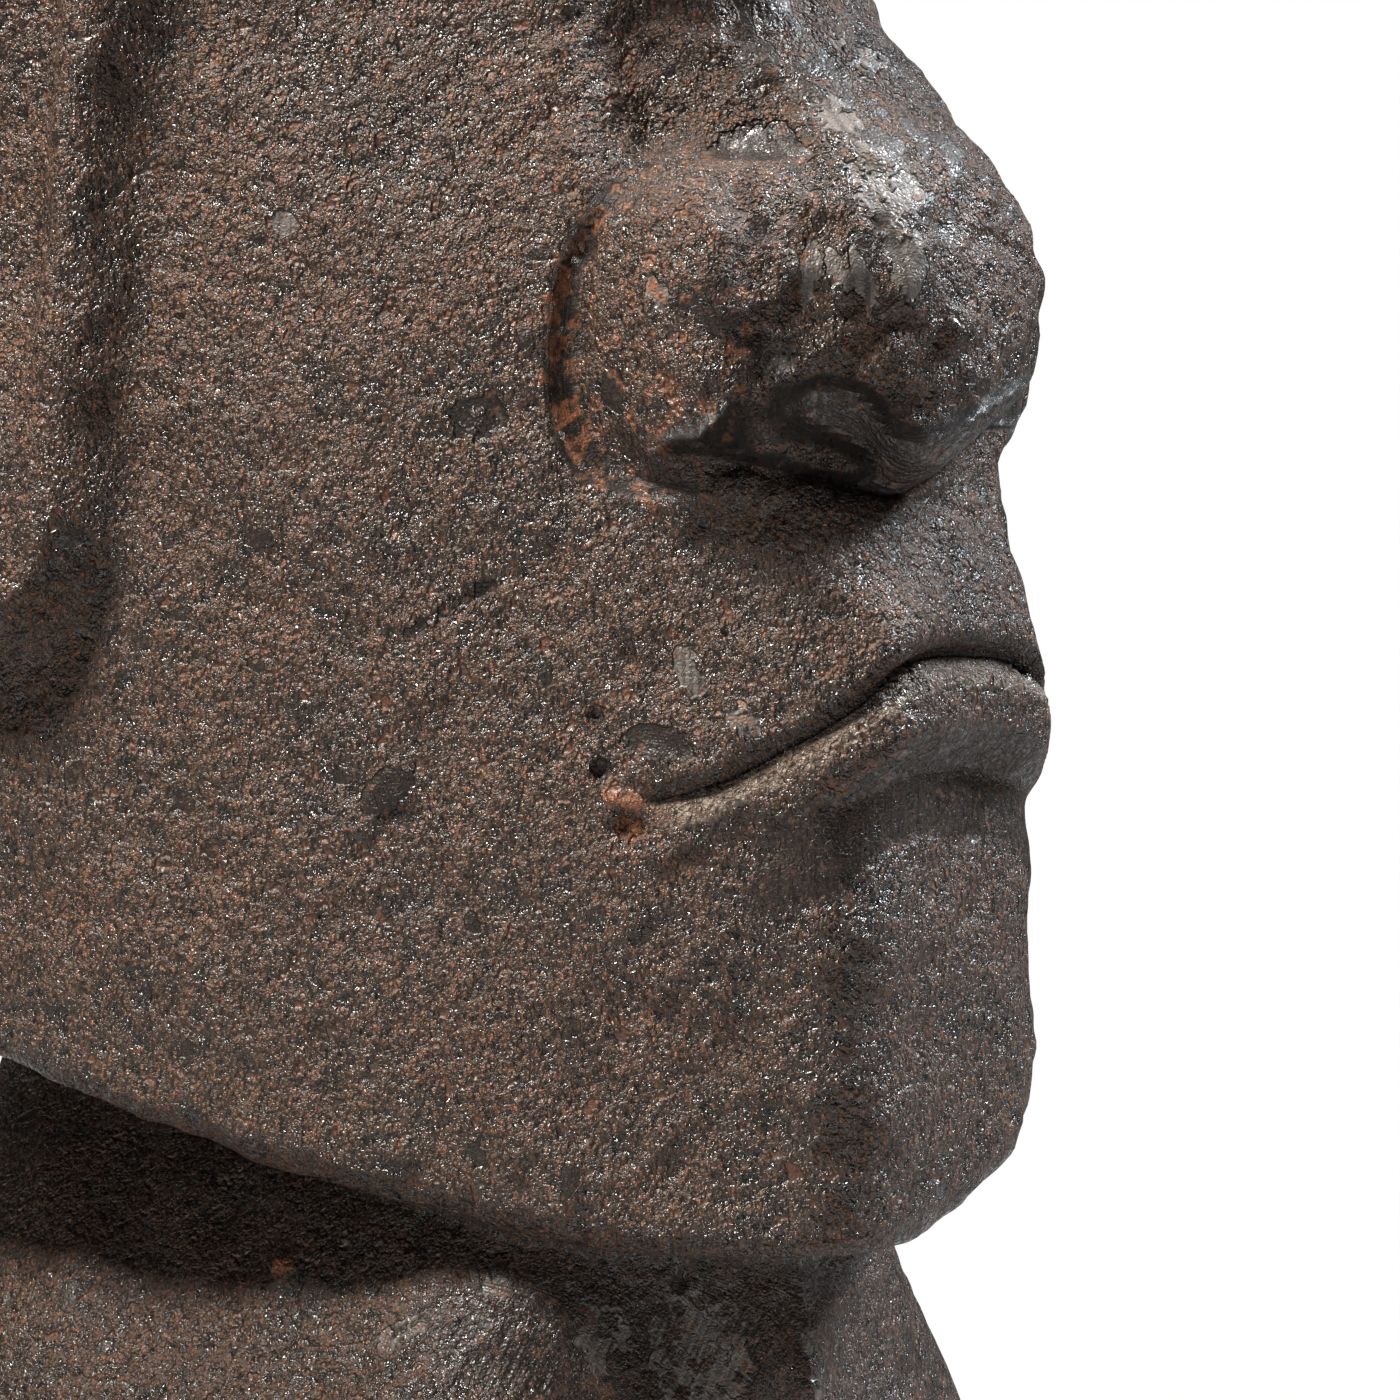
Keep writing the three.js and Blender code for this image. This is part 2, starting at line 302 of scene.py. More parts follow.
# Height of the line between the lips: level in the middle, then down to the corners.
def lipLine(side):
    falling = mouth["middleHeight"] - mouth["fall"] * softStart(side - mouth["fallSide"], 6.3)
    return softMax(falling, mouth["cornerHeight"] + 0 * side, 6)


# Swells above and below the line and a bell-shaped groove along it, all shrinking to
# nothing past the corners. middle is 1 in the middle third, where the lips pout.
def mouthForm(side, reach, z):
    above = z - lipLine(side)
    middle = 1 - ramp(18, 42, side)
    upperSwell, lowerSwell, ledge = [
        mouth[part][0] + mouth[part][1] * middle for part in ["upperSwell", "lowerSwell", "ledge"]
    ]
    upper = upperSwell * ramp(-1.2, 2.6 + 1.6 * middle, above) * (1 - ramp(3, 34, above))
    lower = lowerSwell * ramp(-ledge - 7, -ledge + 4, above) * (1 - ramp(-2.9 - 1.2 * middle, -0.2, above))
    groove = mouth["grooveDepth"] * bell(above, mouth["grooveWidth"])
    return (upper + lower - groove) * (1 - ramp(*mouth["endSides"], side)) * ramp(20, 60, reach)


ear = {
    "footReach": -24,
    "lean": 12,
    "footHeight": 280,
    "length": 134,
    "slabRadii": (16, 29),
    "thickness": 12,
    "troughRadii": (5, 15),
    "troughDepth": 6,
}


# A long upright slab round a leaning line, with a shallow trough down its middle.
def earForm(side, reach, z):
    along = np.clip((z - ear["footHeight"]) / ear["length"], 0, 1)
    lineReach = ear["footReach"] + ear["lean"] * along
    away = np.hypot(reach - lineReach, z - ear["footHeight"] - ear["length"] * along)
    slab = ear["thickness"] * (1 - ramp(*ear["slabRadii"], away))
    trough = ear["troughDepth"] * (1 - ramp(*ear["troughRadii"], away)) * ramp(296, 330, z)
    return (slab - trough) * ramp(70, 95, side)


# Below zero inside the statue, above zero outside, and zero on its skin.
def field(points):
    x, reach, z = points
    side = np.hypot(x, 2)
    noseRoot = 2.5 + 20 * ramp(375, 430, z)
    head = softMin(headBlock(x, side, reach, z), noseForm(x, side, reach, z), noseRoot)
    scoop, crease = noseCuts(x, side, reach, z)
    body = softMin(softMax(head, -scoop, 8) + crease, neckForm(side, reach, z), 6)
    return body - mouthForm(side, reach, z) - earForm(side, reach, z)


# The net that covers the statue: columns run round it, rows from the floor to the crown

net = {
    "columns": 160,
    "rows": 150,
    "relaxSteps": 5,
    "refine": 2,
    "columnCrowding": (1.2, 1.9),  # on the left cheek, and again on the front of the face
    "rowCrowding": (1.5, 1.5),  # from the neck to the eyes, and again from the lips to the nose
    "baseRings": [0.94, 0.8, 0.5, 0.22],
    "axisReach": 10,
    "startHeight": 460,
    "crownFrom": 0.78,  # the share of the rows that leave below the crown
    "dip": 25,
    "farthest": 250,
}


# Slope of the field by central differences, an array of three parts.
def fieldSlope(points, step=0.05):
    parts = []
    for axis in range(3):
        shift = np.zeros((3,) + (1,) * (points.ndim - 1))
        shift[axis] = step
        parts.append((field(points + shift) - field(points - shift)) / (2 * step))
    return np.stack(parts)


# From the upright axis a ray leaves for each (around, along). It dips a little low down
# so that it meets the jaw from below, and swings up to vertical over the crown. It is
# followed outwards, in steps of 0.6 of the field, to where the field is zero.
def castRays(around, along, steps=70):
    dip, crownFrom = net["dip"], net["crownFrom"]
    swing = (90 + dip) * (along - crownFrom) / (1 - crownFrom)
    tilt = np.radians(np.where(along < crownFrom, -dip * ramp(0, 0.2, along), swing - dip))
    jawRise = -33 * np.cos(around) * ramp(0.05, 0.3, along) * (1 - ramp(0.5, 0.75, along))
    startHeight = np.minimum(along / crownFrom, 1) * net["startHeight"] + jawRise
    start = np.stack([0 * around, net["axisReach"] + 0 * around, startHeight])
    way = np.stack([np.sin(around) * np.cos(tilt), np.cos(around) * np.cos(tilt), np.sin(tilt)])
    far = np.full(around.shape, 20.0)
    for step in range(steps):
        far = np.minimum(net["farthest"], far + np.clip(-0.6 * field(start + way * far), -3, 25))
    return start + way * far


# Places at even steps of a weighted length.
def evenPlaces(places, lengths, count):
    total = np.concatenate([[0], np.cumsum(lengths)])
    return np.interp(np.linspace(0, total[-1], count), total, places)


# Columns crowd on the left and front of the face, rows between the neck and the eyes.
def netPlaces():
    around, along = np.linspace(-np.pi, np.pi, 121), np.linspace(0, 1, 201)
    trial = castRays(*np.meshgrid(around, along))
    turn = np.degrees(np.arctan2(trial[0], trial[1]))
    cheek, front = net["columnCrowding"]
    columnWeight = 1 + cheek * between(-120, 42, 10, turn) + front * between(-62, 34, 8, turn)
    lower, upper = net["rowCrowding"]
    rowWeight = 1 + lower * between(98, 396, 10, trial[2]) + upper * between(212, 388, 10, trial[2])
    across = np.linalg.norm(np.diff(trial, axis=2), axis=0) * (columnWeight[:, 1:] + columnWeight[:, :-1])
    upward = np.linalg.norm(np.diff(trial, axis=1), axis=0) * (rowWeight[1:] + rowWeight[:-1])
    columns = evenPlaces(around, across[along < 0.8].mean(axis=0), net["columns"] + 1)[:-1]
    return np.meshgrid(columns, evenPlaces(along, upward.mean(axis=1), net["rows"]))


# One Newton step back to the skin: along the slope by field over slope squared.
def toSkin(points, longest=3):
    slope = fieldSlope(points)
    move = slope * field(points) / np.maximum((slope**2).sum(axis=0), 0.05)
    size = np.linalg.norm(move, axis=0) + 1e-9
    return points - move * np.minimum(1, longest / size)


# Each point goes six tenths of the way to the mean of its four neighbours, then back to
# the skin. The floor row and the crown stay.
def relax(points):
    mean = 0.25 * (np.roll(points, 1, axis=2) + np.roll(points, -1, axis=2))[:, 1:-1]
    mean = mean + 0.25 * (points[:, :-2] + points[:, 2:])
    points = points.copy()
    points[:, 1:-1] = toSkin(0.4 * points[:, 1:-1] + 0.6 * mean)
    return points


# The same net with times as many rows and columns, by straight lines between points.
def finer(points, times):
    rows, columns = points.shape[1:]
    place = np.linspace(0, rows - 1, (rows - 1) * times + 1)
    low = np.minimum(place.astype(int), rows - 2)
    part = (place - low)[None, :, None]
    points = points[:, low] * (1 - part) + points[:, low + 1] * part
    place = np.arange(columns * times) / times
    left = place.astype(int)
    part = (place - left)[None, None, :]
    return points[:, :, left] * (1 - part) + points[:, :, (left + 1) % columns] * part


def smoothSkin():
    points = castRays(*netPlaces())
    points[2, 0] = 0
    for step in range(net["relaxSteps"]):
        points = relax(points)
    points = finer(points, net["refine"])
    points[:, 1:-1] = toSkin(toSkin(points[:, 1:-1]))
    points[:, -1] = points[:, -1].mean(axis=1, keepdims=True)
    return points


skin = smoothSkin()
outward = fieldSlope(skin)
outward /= np.linalg.norm(outward, axis=0) + 1e-9
outward[:, -1] = np.array([0, 0, 1])[:, None]
x, reach, z = skin
side = np.abs(x)
turn = np.degrees(np.arctan2(x, reach))
columnStep = np.linalg.norm(skin - np.roll(skin, 1, axis=2), axis=0)
rowStep = np.linalg.norm(np.gradient(skin, axis=1), axis=0)
spacing = np.maximum(columnStep, rowStep)
print("skin worked out:", skin.shape[1], "rows of", skin.shape[2], "points")


# Hand-made unevenness

relief = {
    "bulge": (95, 0.7),  # (wavelength, spread) of the slow swells left by the hands
    "press": (34, 0.4),
    "dab": (14, 0.3),
    "crumb": (7, 0.19),
    "grit": (4, 0.13),
    "plateWave": 17,
    "plateEdgeWave": 7,
    "plateLift": 0.35,
    "markDepth": 12,  # a mark ends this far above or below the skin at its middle
}


# The sum of many plane waves with random directions, each near the given wavelength. Its
# spread is 1.
def waves(points, wavelength, seed, count=22):
    chance = np.random.default_rng(seed)
    way = chance.normal(size=(count, 3))
    rate = 2 * np.pi / wavelength * chance.uniform(0.75, 1.35, count)
    way *= (rate / np.linalg.norm(way, axis=1))[:, None]
    phase = chance.uniform(0, 2 * np.pi, count)
    each = np.cos(np.einsum("kj,jrc->krc", way, points) + phase[:, None, None])
    return each.sum(axis=0) * np.sqrt(2 / count)


# How closed in each point is: 1 less the field some way out over that way. An open or
# round place gives 0, a crease or the root of the nose up to 1.
def closeness(way):
    return np.clip(1 - field(skin + outward * way) / way, 0, 1)


# Each value becomes the mean of its neighbours' and its own, several times over.
def softened(values, times):
    for step in range(times):
        values = (2 * values + np.roll(values, 1, axis=1) + np.roll(values, -1, axis=1)) / 4
        values[1:-1] = (2 * values[1:-1] + values[:-2] + values[2:]) / 4
    return values


above = z - lipLine(side)
facing = ramp(60, 90, reach)
wingAway = wingDistance(x, side, reach, z)
underNose = ramp(-1, 2.5, z - noseFoot(side)) * (1 - ramp(306, 318, z)) * ramp(-0.12, -0.5, outward[2])
underNose = underNose * (1 - ramp(50, 58, side)) * ramp(95, 108, reach)
noseSide = between(0.5, 5, 3, wingAway) * facing * between(284, 350, 10, z) * ramp(44, 50, side)
lips = between(-2, 0.5, 1.5, above) * (1 - ramp(48, 58, side)) * facing
underLip = between(-36, -15, 7, above) * (1 - ramp(30, 54, side)) * facing
chinFront = between(140, 212, 14, z) * (1 - ramp(24, 44, side)) * facing
throat = between(84, 134, 12, z) * ramp(40, 70, reach)

# Clay dragged smooth: beside the nose, under it, along the lips, under the lower lip, on
# the chin and on the neck close under the jaw.
dragged = noseSide + underNose + 0.5 * lips + 0.75 * underLip + 0.4 * throat + 0.15 * chinFront
dragged = np.clip(dragged, 0, 1)

# Painted shade: darker in creases, by how closed in each point is, less of it in the two
# dragged zones by the nose, and a painted shadow on the left under the jaw.
hollow = 0.5 * closeness(4) + 0.45 * closeness(14) + 0.22 * closeness(40)
hollow = softened(np.clip(hollow, 0, 1), 3) * (1 - 0.45 * noseSide) * (1 - 0.15 * underNose)
hollow = np.clip(hollow + 0.4 * ramp(135, 118, z) * ramp(-22, -42, x), 0, 1)

# Thin plates of clay, most of them on the front of the nose.
plateNoise = waves(skin, relief["plateWave"], 31) + 0.55 * waves(skin, relief["plateEdgeWave"], 32)
noseFront = between(300, 420, 20, z) * (1 - ramp(26, 40, side)) * facing
plates = ramp(2.2, 2.9, plateNoise + 1.4 * noseFront) * (1 - dragged)


# Chips, knobs, holes and trowel smears, each an ellipse on the skin: the turn in degrees
# and the height of its middle, its half width and half height, its lean in degrees, its
# lift, and how pale, dark and clay-coloured it is. Lengths are in millimetres.
marks = {
    "cheekChip": (-66, 341, 2.2, 2.6, 0, 0.4, 0.9, 0, 0),
    "cheekScab": (-53, 227, 6, 4, 35, 0.9, 0, 1, 0),
    "cheekStain": (-43, 300, 7, 5, 20, -0.5, 0, 0.55, 0),
    "cheekGroove": (-46, 263, 13, 2, 30, -0.7, 0, 0.5, 0),
    "noseSmearLeft": (-15.5, 329, 1.7, 6.5, -10, 0.35, 1, 0, 0),
    "noseSmearMiddle": (-13.7, 329.5, 1.4, 5.5, 28, 0.35, 1, 0, 0),
    "noseSmearRight": (-12, 328.5, 1.9, 6.5, 22, 0.4, 1, 0, 0),
    "noseNotch": (-18, 312, 4.5, 3.2, 25, -1.3, 0.55, 0.3, 0),
    "nosePocket": (-15.8, 355, 9, 5.5, 0, -1.6, 0, 1, 0),
    "noseTrowelTop": (-1, 374, 8, 8, 10, 0.3, 0.42, 0, 0),
    "noseTrowelUpper": (-10, 360, 6, 8, 20, 0.4, 0.5, 0, 0),
    "noseTrowelMiddle": (-8.5, 346, 8, 10, 15, 0.5, 0.62, 0, 0),
    "noseTrowelLow": (-9, 332, 4.5, 9, 0, 0.4, 0.6, 0, 0),
    # the dark of this hole is painted shade inside it
    "noseHole": (-10, 339, 1.6, 1.6, 0, -1.2, 0, 1, 0),
    "noseChip": (2, 322, 1, 1, 0, 0.3, 0.4, 0, 1),
    "wingSmear": (-27, 324, 4.5, 4.5, 0, 0.35, 0.5, 0, 0.2),
    "lipFlake": (-23, 250.5, 2.6, 6, 20, 1.1, 0.6, 0, 0),
    "lipScale": (-19.5, 241, 5.5, 3, -45, 0.9, 0.5, 0, 0.25),
    "cornerFlat": (-25.5, 236.5, 8, 3.5, -15, -0.3, 0, 0.85, 0),
    "cornerKnob": (-27.8, 225.5, 5.5, 2.6, -12, 1.1, 0.2, 0, 0.75),
    "cornerPit": (-27.5, 219.8, 3.4, 2.6, 0, -1.7, 0, 0.3, 0.6),
    "cornerBead": (-27.4, 219, 1.6, 1.3, 0, 0.9, 0, 0, 0.9),
    # the dark of these two holes is painted shade inside them
    "cornerHole": (-30.4, 231.5, 1.5, 2, 0, -1.6, 0, 1, 0),
    "cornerHoleAbove": (-31, 241.5, 1.5, 1.4, 0, -1.4, 0, 1, 0),
    # the dark of this hole is painted shade inside it
    "jawHole": (-16.4, 128, 2, 1.6, 0, -1.6, 0, 1, 0),
    "neckSmear": (-52, 119, 8, 4, 20, 0.3, 0.3, 0, 0),
    "neckSmearAbove": (-41, 128, 5, 3, 0, 0.3, 0.3, 0, 0),
    # the keel's ridge with a painted highlight along it, and two fans of strokes painted pale as sheen
    "neckKeelHighlight": (0, 110, 2.4, 20, 0, 1.4, 0.42, 0, 0),
    "neckFanSheen": (-15, 112, 13, 15, -20, 0, 0.5, 0, 0),
    "neckFanSheenLeft": (-28, 118, 8, 9, -30, 0, 0.36, 0, 0),
    "neckKnob": (-71, 131, 2.6, 2.2, 0, 1.2, 0, 0, 1),
}


# The lifts of the marks added up, and the strongest of their colours. Each mark is found
# by the nearest point of the net, then measured along the skin there, full to six tenths
# of its size and gone at five quarters. Clay shows along the wings of the nose too.
def markSums():
    lift, colours = 0 * z, np.zeros((3,) + z.shape)
    for markTurn, height, halfWide, halfTall, lean, high, *share in marks.values():
        off = (turn - markTurn) ** 2 + (z - height) ** 2 + 1e6 * (reach < 0)
        row, column = np.unravel_index(np.argmin(off), off.shape)
        way = outward[:, row, column]
        wide = np.cross([0, 0, 1], -way)
        wide /= np.linalg.norm(wide)
        tall = np.cross(-way, wide)
        offset = skin - skin[:, row, column][:, None, None]
        aside, up, out = (np.tensordot(axis, offset, 1) for axis in [wide, tall, way])
        cos, sin = np.cos(np.radians(lean)), np.sin(np.radians(lean))
        wideShare = (aside * cos + up * sin) / halfWide
        tallShare = (up * cos - aside * sin) / halfTall
        away = np.sqrt(wideShare**2 + tallShare**2 + (out / relief["markDepth"]) ** 2)
        here = 1 - ramp(0.6, 1.25, away)
        lift = lift + high * here
        colours = np.maximum(colours, np.array(share)[:, None, None] * here)
    colours[2] = np.maximum(colours[2], 0.5 * noseSide)
    return lift, colours


# Waves shorter than two or three net steps are left out.
def fade(wavelength):
    return 1 - ramp(wavelength / 3.6, wavelength / 2.2, spacing)


# The nose is the most rugged, and the lips and the dragged zones are the least.
rugged = 0.65 + 0.75 * between(280, 400, 20, z) * (1 - ramp(45, 70, side)) * facing
lift = sum(
    relief[name][1] * waves(skin, relief[name][0], seed) * fade(relief[name][0]) * keep
    for name, seed, keep in [
        ("bulge", 11, 1),
        ("press", 12, 1),
        ("dab", 13, rugged * (1 - 0.5 * dragged)),
        ("crumb", 14, rugged * (1 - 0.75 * dragged)),
        ("grit", 15, rugged * (1 - 0.85 * dragged)),
    ]
)
lift = lift * (1 - 0.6 * between(-9, 4, 3, above) * (1 - ramp(50, 60, side)) * facing)
markLift, markColour = markSums()
lift = (lift + relief["plateLift"] * plates * fade(8) + markLift) * ramp(0, 14, z)
surface = skin + outward * lift
surface[:, -1] = surface[:, -1].mean(axis=1, keepdims=True)

# Which way the clay was dragged: (across, along) the strokes in millimetres.
wingAngle = np.arctan2(z - nose["wingMiddle"][2], reach - nose["wingMiddle"][1])
across, along = turn * 1.9, z
for zone, zoneAcross, zoneAlong in [
    (noseSide, wingAway, 28 * wingAngle),
    (underNose, 0.9 * reach + 0.4 * side, x),
    (lips, above, x),
    (throat, 0.8 * x - 0.6 * z, 0.6 * x + 0.8 * z),
]:
    across = across * (1 - zone) + zoneAcross * zone
    along = along * (1 - zone) + zoneAlong * zone
stroke = np.stack([across, along, 0 * across])
lipRise = np.clip(above, -30, 30)
lipHere = (1 - ramp(48, 53, side)) * facing
print("relief spread", round(float(lift.std()), 2), "mm")


# The mesh

# Rings shrunk towards the middle of the foot close the net below, round one point at its
# centre, and the last row becomes the one point on the crown.
def closedNet(points):
    ring = points[:, 0]
    centre = np.array([0.0, ring[1].mean(), 0.0])
    rings = [centre[:, None] + (ring - centre[:, None]) * size for size in net["baseRings"][::-1]]
    rings += [points[:, row] for row in range(points.shape[1] - 1)]
    return centre, np.stack(rings, axis=1), points[:, -1, 0]


# Four-sided faces between the rings, and triangles round the foot's centre and the crown.
def netFaces(rows, columns):
    column = np.arange(columns)
    after = (column + 1) % columns
    row = np.arange(rows - 1)[:, None] * columns + 1
    corners = [row + column, row + after, row + columns + after, row + columns + column]
    quads = np.stack(corners, axis=-1).reshape(-1, 4)
    top = rows * columns + 1
    lastRow = (rows - 1) * columns + 1
    foot = np.stack([0 * column, after + 1, column + 1], axis=-1)
    crown = np.stack([lastRow + column, lastRow + after, 0 * column + top], axis=-1)
    return [quads, foot, crown]


# Where the upright axis stands, from the middle of the frame's box and of the skin's.
def axisFromBox():
    middle = [(a + b) / 2 for a, b in zip(lowCorner, highCorner)]
    return [middle[0] - (x.max() + x.min()) / 2000, middle[1] + (reach.max() + reach.min()) / 2000]


statueAxis = axisFromBox()


# Turns the points to the frame's way round, in metres, and gives each one its attributes.
# The points of the foot's centre and rings take those of the net's first point.
def addMesh(name, centre, rings, crown, attributes):
    flat = np.concatenate([centre[None], rings.reshape(3, -1).T, crown[None]])
    place = np.stack([flat[:, 0], -flat[:, 1], flat[:, 2]], axis=1) / 1000
    place += np.array([*statueAxis, lowCorner[2]])
    mesh = bpy.data.meshes.new(name)
    faces = [face for part in netFaces(*rings.shape[1:]) for face in part.tolist()]
    mesh.from_pydata(place.tolist(), [], faces)
    mesh.polygons.foreach_set("use_smooth", np.ones(len(mesh.polygons), bool))
    under = 1 + len(net["baseRings"]) * rings.shape[2]
    for label, values in attributes.items():
        values = np.atleast_3d(values.T).T  # one layer for a number, three for a place
        layers = [
            np.concatenate([np.full(under, layer[0, 0]), layer[:-1].ravel(), layer[-1, :1]])
            for layer in values
        ]
        kind, slot = ("FLOAT", "value") if len(layers) == 1 else ("FLOAT_VECTOR", "vector")
        attribute = mesh.attributes.new(label, kind, "POINT")
        attribute.data.foreach_set(slot, np.stack(layers, axis=1).ravel())
    mesh.update()
    piece = bpy.data.objects.new(name, mesh)
    bpy.context.collection.objects.link(piece)
    return piece


centre, rings, crown = closedNet(surface)
statueHead = addMesh("statueHead", centre, rings, crown, {
    "dragged": dragged,
    "hollow": hollow,
    "plate": plates,
    "lipRise": lipRise,
    "lipHere": lipHere,
    "stroke": stroke / 1000,
    "mark": markColour,
})
print("statueHead has", len(statueHead.data.polygons), "faces")


# Painted stone

paint = {
    "shadeBlack": (0.004, 0.0035, 0.0033),
    "soot": (0.02, 0.0145, 0.0115),
    "smear": (0.024, 0.018, 0.0145),
    "brown": (0.073, 0.043, 0.0285),
    "tan": (0.165, 0.101, 0.069),
    "clay": (0.33, 0.125, 0.058),
    "pale": (0.15, 0.13, 0.115),
    "flakeHighlight": (0.26, 0.2, 0.15),
    "mottlePerMetre": 42,
    "raggedPerMetre": 210,
    "crumbsPerMetre": 300,
    "grainsPerMetre": 1080,
    "finePerMetre": 2100,
    "strokesPerMetre": (950, 75, 1),
    "grainWarp": 0.0016,
    "crumbHeight": 0.0024,
    "grainHeight": 0.0005,
    "fineHeight": 0.00022,
    "strokeHeight": 0.0007,
    "plateHeight": 0.00035,
    "crackDepth": 0.0007,
    "fissureDepth": 0.0009,
    "shine": (0.16, 0.55),  # roughness of a wet grain and of a dry one
    "reflect": (0.65, 0.25),  # and how strongly each one mirrors
}

# The levels between which each of these goes from none to all.
levels = {
    "drag": (0.62, 1.05),
    "plate": (0.85, 1.0),
    "mark": (1.33, 1.55),
    "ledgeStart": (-4.8, -3.4),
    "fissurePlace": (0.5, 0.62),
    "dry": (0.54, 0.86),
    "wet": (0.1, 0.8),
    "smearStreak": (0.3, 0.7),
    "tanTop": (0.3, 1.0),
    "clayTop": (1.14, 1.32),
    "grainGapShade": (0.45, 0.85),
}

# And those between which each of these goes from all to none.
endLevels = {
    "grain": (0.05, 0.72),
    "ledgeEnd": (-1.2, -0.6),
    "fissure": (0.002, 0.014),
    "crack": (0.15, 0.55),
}


# A node with its settings, its plain inputs and what feeds the others.
def addNode(tree, kind, settings=(), inputs=(), links=()):
    node = tree.nodes.new(kind)
    for name, value in dict(settings).items():
        setattr(node, name, value)
    for name, value in dict(inputs).items():
        node.inputs[name].default_value = value
    for name, socket in dict(links).items():
        tree.links.new(socket, node.inputs[name])
    return node


# One step of arithmetic, between sockets or plain numbers.
def reckon(tree, operation, *terms):
    node = addNode(tree, "ShaderNodeMath", {"operation": operation})
    for socket, term in zip(node.inputs, terms):
        if isinstance(term, (int, float)):
            socket.default_value = term
        else:
            tree.links.new(term, socket)
    return node.outputs[0]


def times(tree, a, b):
    return reckon(tree, "MULTIPLY", a, b)


def timesPlus(tree, a, b, c):
    return reckon(tree, "MULTIPLY_ADD", a, b, c)


def larger(tree, a, b):
    return reckon(tree, "MAXIMUM", a, b)


# The same cubic as ramp's, from one value to another between two limits.
def step(tree, value, limits, values=(0.0, 1.0)):
    sockets = ["From Min", "From Max", "To Min", "To Max"]
    inputs = dict(zip(sockets, [*limits, *values]))
    kind = {"interpolation_type": "SMOOTHSTEP"}
    return addNode(tree, "ShaderNodeMapRange", kind, inputs, {"Value": value}).outputs["Result"]


def endStep(tree, value, limits):
    return step(tree, value, limits, (1.0, 0.0))


def noise(tree, where, scale, detail, roughness):
    inputs = {"Scale": scale, "Detail": detail, "Roughness": roughness}
    return addNode(tree, "ShaderNodeTexNoise", {}, inputs, {"Vector": where}).outputs["Fac"]


# The first colour where share is 0 and the second where it is 1.
def blend(tree, share, first, second):
    node = addNode(tree, "ShaderNodeMix", {"data_type": "RGBA"})
    tree.links.new(share, node.inputs["Factor"])
    for socket, value in zip([s for s in node.inputs if s.type == "RGBA"], [first, second]):
        if isinstance(value, tuple):
            socket.default_value = (*value, 1)
        else:
            tree.links.new(value, socket)
    return [s for s in node.outputs if s.type == "RGBA"][0]


def attribute(tree, name, output="Fac"):
    return addNode(tree, "ShaderNodeAttribute", {"attribute_name": name}).outputs[output]


